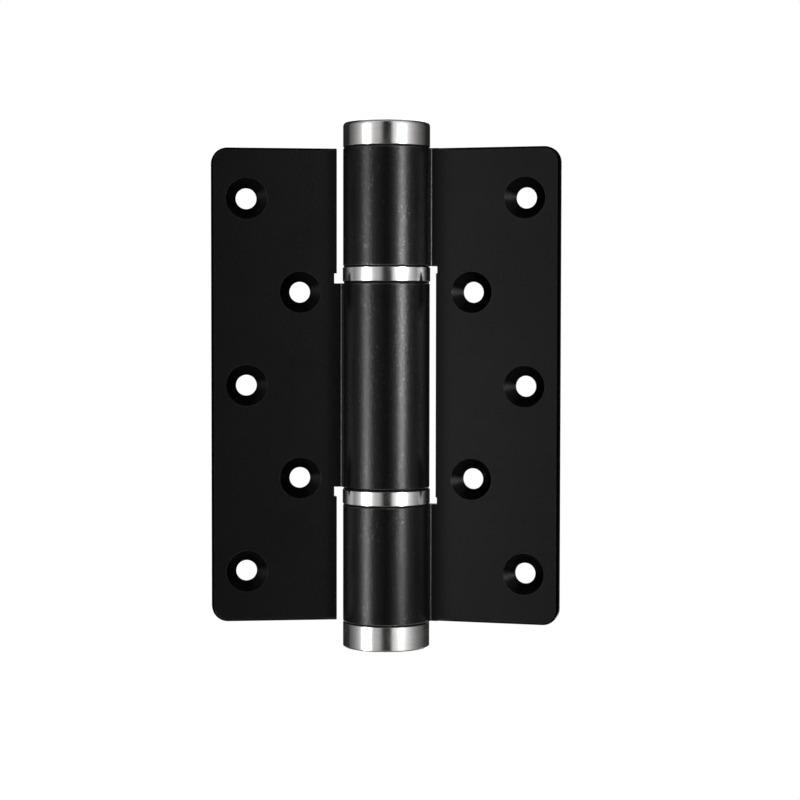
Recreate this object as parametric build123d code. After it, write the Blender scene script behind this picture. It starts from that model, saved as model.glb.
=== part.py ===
from build123d import *
import math
import os

# Hydraulic spring hinge, millimetres.
# The pivot axis is Z and the origin is on it, level with the middle of the leaves.
# The frame leaf lies along +X with its countersunk face towards -Y.
# The door leaf is shown as it stands at rest, folded a little from fully flat.

# Leaves
leaf_height = 127.0
leaf_reach = 46.8
leaf_thickness = 3.0
leaf_setback = 2.0
leaf_corner_radius = 4.3
leaf_edge_chamfer = 0.6
leaf_gap = 1.55
weld_fillet = 0.9
rest_fold = 22.5

# Screw holes
hole_radius = 2.8
countersink_radius = 5.55
countersink_depth = 2.3
hole_row_pitch = 25.0
outer_hole_edge_distance = 9.4
inner_hole_edge_distance = 9.8

# Relief notches where a knuckle leaves its leaf
door_notch_depth = 0.7
frame_notch_depth = 0.35
door_notch_height = 2.7

# Knuckles
knuckle_radius = 11.65
knuckle_wall = 2.65
knuckle_round = 0.35
middle_knuckle_height = 54.8
knuckle_gap = 4.6

# Bearing rings and thrust washers between the knuckles
ring_stands_proud = 0.1
ring_round = 0.12
washer_inset = 0.2
moving_washer_thickness = 0.45
fixed_washer_thickness = 0.35

# Journals on which the middle knuckle turns
journal_wall = 1.45
journal_reach = 7.4
journal_grip = 12.0
journal_collar_height = 0.85

# Clearances
running_fit = 0.05
slip_fit = 0.02
end_play = 0.05
slide_room = 0.2

# Cross pin, cam sleeve and its keys
cross_pin_radius = 2.0
cross_pin_room = 0.2
slot_side_room = 0.15
slot_end_wall = 2.85
slot_end_relief = 0.1
cam_wall = 2.85
cam_end_gap = 0.5
cam_collar_height = 9.5
key_width = 3.0
key_height = 2.6
key_length = 7.0
key_depth_in_knuckle = 1.2

# Plunger
plunger_head_height = 2.5
plunger_pilot_height = 3.0
plunger_body_below_pin = 2.25
plunger_head_room = 0.25
guide_radius = 4.0
guide_flat = 3.2
guide_length = 9.0
guide_margin = 0.25
guide_end_room = 0.75
rod_radius = 3.0

# Damper
seal_wall_height = 2.6
damper_wall = 1.35
piston_top_room = 0.15
piston_height = 5.0
piston_bottom_room = 0.35
piston_seal_radius = 0.6
rod_seal_radius = 0.75
rod_thread_radius = 2.5
rod_thread_spare = 0.2
nut_height = 2.0
nut_across_flats = 7.5
check_ball_radius = 1.0
check_hole_radius = 0.6
check_pocket_radius = 1.3
check_pocket_depth = 2.4
ball_retainer_height = 0.45
ball_retainer_hole = 0.5

# End caps
cap_height = 6.6
top_cap_round = 1.2
bottom_cap_round = 0.35
cap_base_round = 0.15
gasket_height = 0.3
gasket_inset = 0.2
bottom_spigot_height = 3.2
top_spigot_height = 9.0
top_spigot_wall = 1.95
cap_floor_height = 3.0
cap_o_ring_radius = 0.65

# Spring and its tension adjuster
spring_wire_radius = 1.1
spring_turns = 6.5
spring_side_room = 0.5
adjuster_head_radius = 4.4
adjuster_head_recess = 0.5
adjuster_socket_across_flats = 5.0
adjuster_socket_depth = 2.6
tension_thread_radius = 3.0
tension_nut_height = 4.0
tension_nut_drop = 3.1
tension_lug_width = 3.0
tension_lug_reach = 1.6
tension_screw_tail = 3.9
tension_screw_travel = 1.25
spring_seat_height = 0.8
clip_thickness = 0.55
clip_width = 2.1
clip_groove_depth = 0.5
clip_opening = 50.0

# Speed valve
valve_stem_radius = 2.0
valve_orifice_radius = 1.3
valve_tip_radius = 0.5
valve_tip_length = 0.9
valve_seal_radius = 0.4

# Radii that follow from the sizes above
ring_radius = knuckle_radius + ring_stands_proud
thrust_washer_radius = knuckle_radius - washer_inset
gasket_radius = knuckle_radius - gasket_inset
bore_radius = knuckle_radius - knuckle_wall
fitted_radius = bore_radius - running_fit
journal_bore = fitted_radius - journal_wall
cam_bore = fitted_radius - cam_wall
cam_collar_bore = journal_bore
plunger_radius = cam_bore - running_fit
plunger_head_radius = cam_collar_bore - slide_room
spring_radius = journal_bore - spring_side_room - spring_wire_radius
spring_pilot_radius = spring_radius - spring_wire_radius - slide_room
slot_half_width = cross_pin_radius + slot_side_room
damper_bore = fitted_radius - damper_wall
piston_radius = damper_bore - running_fit
leaf_inner_reach = knuckle_radius + leaf_gap
collar_radius = bore_radius + journal_collar_height

# Levels that follow from the sizes above
leaf_half = leaf_height / 2
middle_half = middle_knuckle_height / 2
outer_start = middle_half + knuckle_gap
journal_inner_end = middle_half - journal_reach
guide_bottom = -(journal_inner_end + guide_length)

# The stroke is the room that the damper and the guide leave in the lower half
damper_fixed_length = (
    guide_margin
    + guide_end_room
    + seal_wall_height
    + piston_top_room
    + piston_height
    + nut_height
    + rod_thread_spare
    + piston_bottom_room
    + bottom_spigot_height
)
plunger_stroke = (leaf_half + guide_bottom - damper_fixed_length) / 2
stroke_to_flat = plunger_stroke * rest_fold / 180
stroke_to_closed = plunger_stroke - stroke_to_flat

cam_bottom = -journal_inner_end + cam_end_gap
pin_lowest = cam_bottom + slot_end_wall + slot_half_width
pin_rest = pin_lowest + stroke_to_closed
cam_shoulder = pin_lowest + plunger_stroke + slot_half_width + slot_end_wall
cam_top = cam_shoulder + cam_collar_height
head_bottom = cam_shoulder + plunger_head_room + stroke_to_closed
head_top = head_bottom + plunger_head_height
body_bottom = pin_rest - cross_pin_radius - plunger_body_below_pin
guide_end = guide_bottom - stroke_to_flat - guide_margin
journal_bottom = guide_end - stroke_to_closed - guide_end_room
seal_wall_bottom = journal_bottom - seal_wall_height
piston_top = seal_wall_bottom - piston_top_room - stroke_to_flat
piston_bottom = piston_top - piston_height
nut_bottom = piston_bottom - nut_height
rod_bottom = nut_bottom - rod_thread_spare
bottom_spigot_end = -leaf_half + bottom_spigot_height
cap_base = leaf_half + gasket_height
cap_end = cap_base + cap_height
cap_floor_top = cap_end - adjuster_head_recess - adjuster_head_radius * 0.8
cap_floor_bottom = cap_floor_top - cap_floor_height
top_spigot_end = leaf_half - top_spigot_height
tension_nut_top = leaf_half - tension_nut_drop
tension_nut_bottom = tension_nut_top - tension_nut_height
spring_top = tension_nut_bottom - spring_seat_height
clip_top = cap_floor_bottom - end_play


def rod(radius, low, high):
    """Upright cylinder on the pivot axis between two levels."""
    return Pos(0, 0, low) * Cylinder(
        radius, high - low, align=(Align.CENTER, Align.CENTER, Align.MIN)
    )


def tube(outer, inner, low, high):
    """Upright tube on the pivot axis between two levels."""
    return rod(outer, low, high) - rod(inner, low, high)


def block(x_low, x_high, y_low, y_high, z_low, z_high):
    """Box between its lowest and highest corners."""
    size = Box(x_high - x_low, y_high - y_low, z_high - z_low)
    return Pos((x_low + x_high) / 2, (y_low + y_high) / 2, (z_low + z_high) / 2) * size


def hexagon_prism(across_flats, low, high):
    """Upright hexagonal bar on the pivot axis."""
    outline = RegularPolygon(across_flats / 2, 6, major_radius=False)
    return Pos(0, 0, low) * extrude(outline, high - low)


def double_d(radius, flat, low, high):
    """Round bar with two opposite flats that face +Y and -Y."""
    return rod(radius, low, high) & block(-radius, radius, -flat, flat, low, high)


def o_ring(middle_radius, section_radius, level):
    """Rubber ring lying flat round the pivot axis."""
    return Pos(0, 0, level) * Torus(middle_radius, section_radius)


def end_circles(solid, level):
    """Outermost circular edge of a turned piece at a level."""
    edges = solid.edges().filter_by(GeomType.CIRCLE)
    at_level = edges.filter_by_position(Axis.Z, level - 0.01, level + 0.01)
    return at_level.sort_by(lambda edge: edge.radius)[-1]


def chamfered_rod(radius, low, high, bevel):
    """Cylinder with both end edges broken."""
    body = rod(radius, low, high)
    return chamfer([end_circles(body, low), end_circles(body, high)], bevel)


def rounded_rod(radius, low, high, round_low, round_high):
    """Cylinder with its two end edges rounded, each by its own radius."""
    body = rod(radius, low, high)
    body = fillet(end_circles(body, low), round_low)
    return fillet(end_circles(body, high), round_high)


def countersunk_hole(x, z):
    """Cutter for one countersunk screw hole, opening towards -Y."""
    front = leaf_setback
    back = leaf_setback + leaf_thickness
    overrun = 1.0
    spread = (countersink_radius - hole_radius) / countersink_depth
    shank = Cylinder(hole_radius, back - front + 2 * overrun)
    mouth = Cone(
        countersink_radius + overrun * spread, hole_radius, countersink_depth + overrun
    )
    through = Pos(x, (front + back) / 2, z) * Rot(90, 0, 0) * shank
    # The cone's wide end faces -Y and stands proud of the leaf by the overrun
    sink = (
        Pos(x, front + (countersink_depth - overrun) / 2, z) * Rot(-90, 0, 0) * mouth
    )
    return through + sink


def hole_places():
    """Places of the five screw holes: three by the outer edge, two staggered between."""
    outer = leaf_reach - outer_hole_edge_distance
    inner = leaf_inner_reach + inner_hole_edge_distance
    outer_rows = [(outer, row * 2 * hole_row_pitch) for row in (-1, 0, 1)]
    inner_rows = [(inner, row * hole_row_pitch) for row in (-1, 1)]
    return outer_rows + inner_rows


def plate():
    """Flat leaf without its knuckles, outer corners rounded and edges broken."""
    flat = block(
        leaf_inner_reach,
        leaf_reach,
        leaf_setback,
        leaf_setback + leaf_thickness,
        -leaf_half,
        leaf_half,
    )
    corners = flat.edges().filter_by(Axis.Y).group_by(Axis.X)[-1]
    flat = fillet(corners, leaf_corner_radius)
    rims = flat.faces().filter_by(Axis.Y).edges()
    outer_rims = [edge for edge in rims if edge.center().X > leaf_inner_reach + 0.1]
    return chamfer(outer_rims, leaf_edge_chamfer)


def web_outline():
    """Section of the strip that joins a leaf to its knuckle, with both weld fillets."""
    strip_end = leaf_inner_reach + leaf_edge_chamfer
    strip = Pos(strip_end / 2, leaf_setback + leaf_thickness / 2) * Rectangle(
        strip_end, leaf_thickness
    )
    joined = Circle(knuckle_radius) + strip
    roots = [
        vertex
        for vertex in joined.vertices()
        if abs(math.hypot(vertex.X, vertex.Y) - knuckle_radius) < 0.01 and vertex.Y > 1.0
    ]
    joined = fillet(roots, weld_fillet)
    window_start = bore_radius + 0.5 * knuckle_wall
    window = Pos((window_start + strip_end) / 2, leaf_setback + leaf_thickness / 2)
    height = leaf_thickness + 4 * weld_fillet
    return joined & (window * Rectangle(strip_end - window_start, height))


def leaf(knuckle_bores, notch_spans, notch_depth):
    """Leaf along +X with its knuckles: each has its lowest and highest level, and the
    space that is bored out of it."""
    body = plate()
    for low, high in notch_spans:
        body -= block(
            leaf_inner_reach - 1.0,
            leaf_inner_reach + notch_depth,
            leaf_setback - 1.0,
            leaf_setback + leaf_thickness + 1.0,
            low,
            high,
        )
    for low, high, bored in knuckle_bores:
        body += rounded_rod(knuckle_radius, low, high, knuckle_round, knuckle_round)
        body += Pos(0, 0, low) * extrude(web_outline(), high - low)
    for low, high, bored in knuckle_bores:
        body -= bored
    for x, z in hole_places():
        body -= countersunk_hole(x, z)
    return body


def frame_leaf():
    """Leaf for the door frame, with the top and bottom knuckles."""
    knuckles = []
    for low, high in [(outer_start, leaf_half), (-leaf_half, -outer_start)]:
        knuckles.append((low, high, rod(bore_radius, low - 1.0, high + 1.0)))
    notch_start = middle_half + door_notch_height
    notches = [(notch_start, outer_start), (-outer_start, -notch_start)]
    return leaf(knuckles, notches, frame_notch_depth)


def door_leaf():
    """Leaf for the door, with the middle knuckle and its two keyways."""
    notch_end = middle_half + door_notch_height
    notches = [(middle_half, notch_end), (-notch_end, -middle_half)]
    bored = rod(bore_radius, -middle_half - 1.0, middle_half + 1.0)
    for side in (-1, 1):
        bored += keyway(
            side, bore_radius + key_depth_in_knuckle, middle_half + 1.0
        )
    # Turned by the fold here, the keyways face +Y and -Y once the leaf is folded
    knuckle = (-middle_half, middle_half, Rot(0, 0, rest_fold) * bored)
    body = leaf([knuckle], notches, door_notch_depth)
    return Rot(0, 0, rest_fold) * mirror(body, Plane.YZ)


def keyway(side, reach, top):
    """Space for one key, open upwards, on the +Y or -Y side of the bore."""
    inner = bore_radius + key_depth_in_knuckle - key_height
    low, high = sorted((side * (inner - slip_fit), side * (reach + slip_fit)))
    half = key_width / 2 + slip_fit
    return block(-half, half, low, high, key_bottom() - slip_fit, top)


def key_bottom():
    """Lower end of the keys, centred on the collar of the cam sleeve."""
    return cam_shoulder + (cam_collar_height - key_length) / 2


def cam_keys():
    """Two parallel keys between the cam sleeve and the middle knuckle."""
    outer = bore_radius + key_depth_in_knuckle
    keys = []
    for side in (-1, 1):
        low, high = sorted((side * (outer - key_height), side * outer))
        half = key_width / 2
        keys.append(
            block(-half, half, low, high, key_bottom(), key_bottom() + key_length)
        )
    return Compound(children=keys)


def helical_slot(turned):
    """Cutters for one steep slot between two drilled ends: the pin climbs it by the
    stroke in half a turn."""
    radius = (fitted_radius + cam_bore) / 2
    depth = cam_wall + 2.0
    path = Helix(
        pitch=2 * plunger_stroke,
        height=plunger_stroke,
        radius=radius,
        center=(0, 0, pin_lowest),
    )
    outward = Plane(origin=path @ 0, x_dir=(1, 0, 0), z_dir=path % 0)
    groove = sweep(
        outward * Rectangle(depth, 2 * slot_half_width), path=path, is_frenet=True
    )
    drill = Cylinder(slot_half_width + slot_end_relief, depth)
    end = Pos(radius, 0, 0) * Rot(0, 90, 0) * drill
    low_end = Pos(0, 0, pin_lowest) * end
    high_end = Pos(0, 0, pin_lowest + plunger_stroke) * Rot(0, 0, 180) * end
    closed_turn = rest_fold - 180
    return [Rot(0, 0, closed_turn + turned) * cut for cut in (groove, low_end, high_end)]


def cam_sleeve():
    """Sleeve keyed in the middle knuckle, with two helical slots for the cross pin."""
    body = tube(fitted_radius, cam_bore, cam_bottom, cam_shoulder)
    body += tube(fitted_radius, cam_collar_bore, cam_shoulder, cam_top)
    for turned in (0, 180):
        for cut in helical_slot(turned):
            body -= cut
    for side in (-1, 1):
        body -= keyway(side, fitted_radius + 1.0, cam_top + 1.0)
    return body


def cross_pin():
    """Hardened pin through the plunger; its ends ride in the helical slots."""
    length = 2 * (bore_radius - cross_pin_room)
    pin = Cylinder(cross_pin_radius, length)
    pin = chamfer(pin.edges().filter_by(GeomType.CIRCLE), 0.3)
    return Pos(0, 0, pin_rest) * Rot(0, 90, 0) * pin


def plunger():
    """Sliding core: spring head, body for the cross pin, flat-sided guide and rod."""
    body = rod(spring_pilot_radius, head_top, head_top + plunger_pilot_height)
    body += chamfered_rod(plunger_head_radius, head_bottom, head_top, 0.3)
    body += rod(plunger_radius, body_bottom, head_bottom)
    body += double_d(guide_radius, guide_flat, guide_end, body_bottom)
    body += rod(rod_radius, piston_top, guide_end)
    body += rod(rod_thread_radius, rod_bottom, piston_top)
    hole = Cylinder(cross_pin_radius + slip_fit, 4 * plunger_radius)
    return body - Pos(0, 0, pin_rest) * Rot(0, 90, 0) * hole


def journal(outer_end, inner_end):
    """Turned sleeve pressed into an outer knuckle, with a collar between the knuckles."""
    body = tube(fitted_radius, journal_bore, inner_end, outer_end)
    return body + tube(
        collar_radius, journal_bore, outer_start - ring_height(), outer_start
    )


def ring_height():
    """Height of a bearing ring together with the thrust washer fixed above it."""
    return knuckle_gap - moving_washer_thickness - end_play


def upper_journal():
    """Journal in the top knuckle; the main spring passes through it."""
    return journal(outer_start + journal_grip, journal_inner_end)


def lower_journal():
    """Journal in the bottom knuckle, with the flat-sided bore that keeps the plunger
    from turning."""
    body = rod(fitted_radius, journal_bottom, -journal_inner_end)
    body += rod(collar_radius, -outer_start, -outer_start + ring_height())
    fit = running_fit
    body -= double_d(
        guide_radius + fit, guide_flat + fit, guide_bottom, -journal_inner_end
    )
    return body - rod(guide_radius + 2.0, journal_bottom, guide_bottom)


def bearing_ring():
    """Bright ring above the middle knuckle."""
    low = outer_start - ring_height()
    high = outer_start - fixed_washer_thickness
    body = rounded_rod(ring_radius, low, high, ring_round, ring_round)
    return body - rod(collar_radius + slip_fit, low, high)


def thrust_washers():
    """Dark washers below and above the upper bearing ring."""
    low = middle_half + end_play
    ring_low = outer_start - ring_height()
    ring_top = outer_start - fixed_washer_thickness
    lower = tube(thrust_washer_radius, fitted_radius + slip_fit, low, ring_low)
    upper = tube(thrust_washer_radius, collar_radius + slip_fit, ring_top, outer_start)
    return [lower, upper]


def below(shape):
    """The same piece at the lower ring."""
    return mirror(shape, Plane.XY)


def cap_blank(end_round):
    """Bright end cap above the top knuckle, without its spigot and bores."""
    return rounded_rod(knuckle_radius, cap_base, cap_end, cap_base_round, end_round)


def adjuster_pocket():
    """Counterbore in a cap for the head of an adjuster."""
    return rod(adjuster_head_radius + running_fit, cap_floor_top, cap_end + 1.0)


def top_cap():
    """Top cap: a slotted spigot holds the tension nut from turning."""
    body = cap_blank(top_cap_round) + rod(fitted_radius, top_spigot_end, cap_base)
    spigot_bore = fitted_radius - top_spigot_wall
    body -= rod(spigot_bore, top_spigot_end, cap_floor_bottom)
    body -= adjuster_pocket()
    body -= rod(tension_thread_radius + running_fit, cap_floor_bottom, cap_floor_top)
    half = tension_lug_width / 2 + slide_room / 2
    slot_top = tension_nut_top + tension_screw_travel + slide_room
    return body - block(
        -half, half, -fitted_radius, fitted_radius, top_spigot_end, slot_top
    )


def bottom_cap():
    """Bottom cap: closes the oil chamber and carries the speed valve."""
    body = below(cap_blank(bottom_cap_round) - adjuster_pocket())
    body += rod(fitted_radius, -cap_base, bottom_spigot_end)
    groove_level = (bottom_spigot_end - leaf_half) / 2
    depth = 2 * cap_o_ring_radius
    body -= tube(
        fitted_radius + 1.0,
        fitted_radius - depth,
        groove_level - cap_o_ring_radius - slip_fit,
        groove_level + cap_o_ring_radius + slip_fit,
    )
    body -= rod(valve_stem_radius + running_fit, -cap_floor_top, valve_seat_level())
    return body - rod(valve_orifice_radius, valve_seat_level(), bottom_spigot_end)


def valve_seat_level():
    """Level where the valve bore narrows to its orifice."""
    return bottom_spigot_end - valve_tip_length


def cap_o_ring():
    """Rubber ring that seals the bottom cap in its knuckle."""
    level = (bottom_spigot_end - leaf_half) / 2
    return o_ring(fitted_radius - cap_o_ring_radius, cap_o_ring_radius, level)


def gasket():
    """Thin dark ring between the top cap and the top knuckle."""
    return tube(gasket_radius, fitted_radius + slip_fit, leaf_half, cap_base)


def adjuster_head():
    """Socket head of an adjuster, sunk a little below the end of the top cap."""
    top = cap_end - adjuster_head_recess
    low = cap_floor_top + end_play
    body = rod(adjuster_head_radius, low, top)
    body = chamfer(end_circles(body, top), 0.3)
    socket_low = top - adjuster_socket_depth
    return body - hexagon_prism(adjuster_socket_across_flats, socket_low, top + 1.0)


def tension_screw():
    """Adjuster in the top cap: it turns in place and drives the tension nut."""
    tail = tension_nut_bottom - tension_screw_tail
    body = adjuster_head()
    body += rod(tension_thread_radius, tail, cap_floor_top + end_play)
    groove_radius = tension_thread_radius - clip_groove_depth
    return body - tube(
        tension_thread_radius + 1.0, groove_radius, clip_top - clip_thickness, clip_top
    )


def screw_clip():
    """Open retaining ring that keeps the tension screw in the top cap."""
    inner = tension_thread_radius - clip_groove_depth + slip_fit
    outer = inner + clip_width
    low = clip_top - clip_thickness + slip_fit
    ring = tube(outer, inner, low, clip_top - slip_fit)
    reach = outer * 2
    half = reach * math.tan(math.radians(clip_opening / 2))
    opening = make_face(Polyline((0, 0), (reach, half), (reach, -half), close=True))
    return ring - Pos(0, 0, low - 1.0) * extrude(opening, clip_thickness + 2.0)


def tension_nut():
    """Nut with two lugs that slide in the slots of the top cap's spigot."""
    radius = fitted_radius - top_spigot_wall - slide_room
    body = rod(radius, tension_nut_bottom, tension_nut_top)
    half = tension_lug_width / 2
    reach = radius + tension_lug_reach
    body += block(-half, half, -reach, reach, tension_nut_bottom, tension_nut_top)
    return body - rod(
        tension_thread_radius + running_fit, tension_nut_bottom, tension_nut_top
    )


def spring_seat():
    """Hardened washer between the main spring and the tension nut."""
    outer = fitted_radius - top_spigot_wall - slide_room
    inner = tension_thread_radius + slide_room
    return tube(outer, inner, spring_top, tension_nut_bottom)


def main_spring():
    """Closing spring, ground flat where it seats at both ends."""
    length = spring_top - head_top
    path = Helix(
        pitch=(length - spring_wire_radius) / spring_turns,
        height=length - spring_wire_radius,
        radius=spring_radius,
        center=(0, 0, head_top + spring_wire_radius / 2),
    )
    start = Plane(origin=path @ 0, x_dir=(1, 0, 0), z_dir=path % 0)
    coil = sweep(start * Circle(spring_wire_radius), path=path, is_frenet=True)
    reach = spring_radius + 2 * spring_wire_radius
    return coil & rod(reach, head_top, spring_top)


def damper_cylinder():
    """Oil cylinder in the bottom knuckle, with the wall that holds the rod seal."""
    body = rod(fitted_radius, bottom_spigot_end, journal_bottom)
    body -= rod(damper_bore, bottom_spigot_end, seal_wall_bottom)
    body -= rod(rod_radius + running_fit, seal_wall_bottom, journal_bottom)
    middle = (seal_wall_bottom + journal_bottom) / 2
    reach = rod_radius + running_fit + 2 * rod_seal_radius + slip_fit
    half = rod_seal_radius + slip_fit
    return body - rod(reach, middle - half, middle + half)


def rod_seal():
    """Rubber ring round the piston rod."""
    middle = (seal_wall_bottom + journal_bottom) / 2
    radius = rod_radius + running_fit + rod_seal_radius
    return o_ring(radius, rod_seal_radius, middle)


def check_offset():
    """Distance of the check valve from the pivot axis."""
    return piston_radius - 2 * piston_seal_radius - check_pocket_radius - slide_room


def piston():
    """Piston with a rim groove for its seal and a drilled check valve."""
    body = tube(piston_radius, rod_thread_radius + slip_fit, piston_bottom, piston_top)
    middle = (piston_bottom + piston_top) / 2
    half = piston_seal_radius + slip_fit
    floor = piston_radius - 2 * piston_seal_radius
    body -= tube(piston_radius + 1.0, floor, middle - half, middle + half)
    place = Pos(check_offset(), 0, 0)
    body -= place * rod(check_hole_radius, piston_bottom, piston_top)
    return body - place * rod(
        check_pocket_radius, piston_bottom, piston_bottom + check_pocket_depth
    )


def piston_seal():
    """Rubber ring in the rim of the piston."""
    middle = (piston_bottom + piston_top) / 2
    return o_ring(piston_radius - piston_seal_radius, piston_seal_radius, middle)


def piston_nut():
    """Hexagon nut that holds the piston on its rod."""
    body = hexagon_prism(nut_across_flats, nut_bottom, piston_bottom)
    return body - rod(rod_thread_radius + slip_fit, nut_bottom, piston_bottom)


def check_ball():
    """Ball that shuts the piston's drilled passage in one direction."""
    drop = math.sqrt(check_ball_radius**2 - check_hole_radius**2)
    level = piston_bottom + check_pocket_depth - drop - slip_fit
    return Pos(check_offset(), 0, level) * Sphere(check_ball_radius)


def ball_retainer():
    """Small ring staked into the mouth of the check valve."""
    ring = tube(
        check_pocket_radius - slip_fit,
        ball_retainer_hole,
        piston_bottom,
        piston_bottom + ball_retainer_height,
    )
    return Pos(check_offset(), 0, 0) * ring


def speed_valve():
    """Adjuster in the bottom cap whose tip meters the oil."""
    body = below(adjuster_head())
    seat = valve_seat_level()
    stem_low = -cap_floor_top - end_play
    body += rod(valve_stem_radius, stem_low, seat - end_play)
    tip_base = valve_orifice_radius - slide_room
    tip = Cone(tip_base, valve_tip_radius, valve_tip_length)
    body += Pos(0, 0, seat - end_play + valve_tip_length / 2) * tip
    level = valve_seal_level()
    half = valve_seal_radius + slip_fit
    floor = valve_stem_radius - 2 * valve_seal_radius
    return body - tube(valve_stem_radius + 1.0, floor, level - half, level + half)


def valve_seal_level():
    """Level of the rubber ring on the valve stem."""
    return (valve_seat_level() - cap_floor_top) / 2


def valve_seal():
    """Rubber ring on the valve stem."""
    radius = valve_stem_radius - valve_seal_radius
    return o_ring(radius, valve_seal_radius, valve_seal_level())


parts = {
    "frame_leaf": frame_leaf(),
    "door_leaf": door_leaf(),
    "top_cap": top_cap(),
    "bottom_cap": bottom_cap(),
    "top_gasket": gasket(),
    "bottom_gasket": below(gasket()),
    "upper_ring": bearing_ring(),
    "lower_ring": below(bearing_ring()),
    "upper_thrust_washers": Compound(children=thrust_washers()),
    "lower_thrust_washers": Compound(children=[below(w) for w in thrust_washers()]),
    "upper_journal": upper_journal(),
    "lower_journal": lower_journal(),
    "cam_sleeve": cam_sleeve(),
    "cam_keys": cam_keys(),
    "cross_pin": cross_pin(),
    "plunger": plunger(),
    "main_spring": main_spring(),
    "spring_seat": spring_seat(),
    "tension_nut": tension_nut(),
    "tension_screw": tension_screw(),
    "screw_clip": screw_clip(),
    "damper_cylinder": damper_cylinder(),
    "rod_seal": rod_seal(),
    "piston": piston(),
    "piston_seal": piston_seal(),
    "piston_nut": piston_nut(),
    "check_ball": check_ball(),
    "ball_retainer": ball_retainer(),
    "cap_o_ring": cap_o_ring(),
    "speed_valve": speed_valve(),
    "valve_seal": valve_seal(),
}

os.makedirs("parts", exist_ok=True)
for name, shape in parts.items():
    export_step(shape, f"parts/{name}.step")
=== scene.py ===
"""Hydraulic spring hinge: finishes for every piece, and a plain studio round it."""

import math

import bmesh
import bpy
from bpy.props import FloatProperty, FloatVectorProperty, PointerProperty
from mathutils import Matrix, Vector


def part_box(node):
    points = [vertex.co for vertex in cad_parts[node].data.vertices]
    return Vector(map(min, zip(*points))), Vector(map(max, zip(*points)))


bl_info = {
    "name": "Hydraulic spring hinge",
    "version": (1, 0, 0),
    "blender": (4, 5, 0),
    "location": "3D View > Sidebar > Hinge",
    "description": "Finishes the pieces of a self-closing door hinge and lights them",
    "category": "Object",
}

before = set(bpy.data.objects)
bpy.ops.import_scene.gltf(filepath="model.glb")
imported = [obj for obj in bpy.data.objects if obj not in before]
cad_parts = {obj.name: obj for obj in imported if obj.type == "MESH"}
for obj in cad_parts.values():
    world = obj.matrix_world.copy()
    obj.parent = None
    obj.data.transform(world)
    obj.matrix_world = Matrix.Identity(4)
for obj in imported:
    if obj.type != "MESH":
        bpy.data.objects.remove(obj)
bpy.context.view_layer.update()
BARREL_RADIUS = (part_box("top_cap")[1].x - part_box("top_cap")[0].x) / 2
LEAF_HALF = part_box("frame_leaf")[1].z


# Settings


class HingeCoatSettings(bpy.types.PropertyGroup):
    """Black coat of the leaves and their knuckles."""

    leaf_colour: FloatVectorProperty(
        name="Leaf colour",
        description="Colour of the coat on the flat leaves",
        default=(0.0014, 0.0014, 0.0015),
        subtype="COLOR",
        min=0,
        max=1,
    )
    barrel_colour: FloatVectorProperty(
        name="Barrel colour",
        description="Colour of the smoother coat on the turned knuckles",
        default=(0.0016, 0.0016, 0.0017),
        subtype="COLOR",
        min=0,
        max=1,
    )
    glitter_colour: FloatVectorProperty(
        name="Glitter colour",
        description="Brighter grains of the coat",
        default=(0.038, 0.038, 0.039),
        subtype="COLOR",
        min=0,
        max=1,
    )
    # Painted glint: a bright reflecting colour on the rounded knuckle ends stands in
    # for the glint of light there, beside the coat drawn thin over them
    knuckle_end_glint_colour: FloatVectorProperty(
        name="Turned rim colour",
        description="Coat drawn thin and smooth over the rounded ends of a knuckle",
        default=(0.10, 0.10, 0.102),
        subtype="COLOR",
        min=0,
        max=1,
    )
    # Painted highlight: a light colour along the edges of the knuckles and of the leaf
    # beside them, together with the wear of the coat there
    inner_edge_highlight_colour: FloatVectorProperty(
        name="Rim colour",
        description="Coat where it is thin along an edge",
        default=(0.055, 0.055, 0.057),
        subtype="COLOR",
        min=0,
        max=1,
    )
    scuffed_colour: FloatVectorProperty(
        name="Scuffed colour",
        description="Coat rubbed pale along the rims of the leaves",
        default=(0.018, 0.018, 0.019),
        subtype="COLOR",
        min=0,
        max=1,
    )
    # Painted highlight on the bevel round each countersink
    hole_rim_highlight_colour: FloatVectorProperty(
        name="Hole rim colour",
        description="Coat rubbed pale round the countersinks",
        default=(0.05, 0.05, 0.051),
        subtype="COLOR",
        min=0,
        max=1,
    )
    # Painted shade: a very dark colour in the countersinks, made metallic below so that
    # no light scatters from it
    sunk_shade_colour: FloatVectorProperty(
        name="Sunk colour",
        description="Thin smooth coat in the countersinks",
        default=(0.0042, 0.0042, 0.0043),
        subtype="COLOR",
        min=0,
        max=1,
    )
    # Painted shade: a near-black colour on the walls and chamfers of the leaves, made
    # metallic below
    chamfer_shade_colour: FloatVectorProperty(
        name="Chamfer colour",
        description="Coat on the chamfers of the leaves, in the leaf's own shade",
        default=(0.0006, 0.0006, 0.0006),
        subtype="COLOR",
        min=0,
        max=1,
    )
    grain: FloatProperty(
        name="Grain",
        description="Width of one grain of the sanded coat",
        default=0.00036,
        unit="LENGTH",
        precision=5,
    )
    relief: FloatProperty(
        name="Relief",
        description="Height of the grains",
        default=0.000022,
        unit="LENGTH",
        precision=6,
    )


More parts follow.
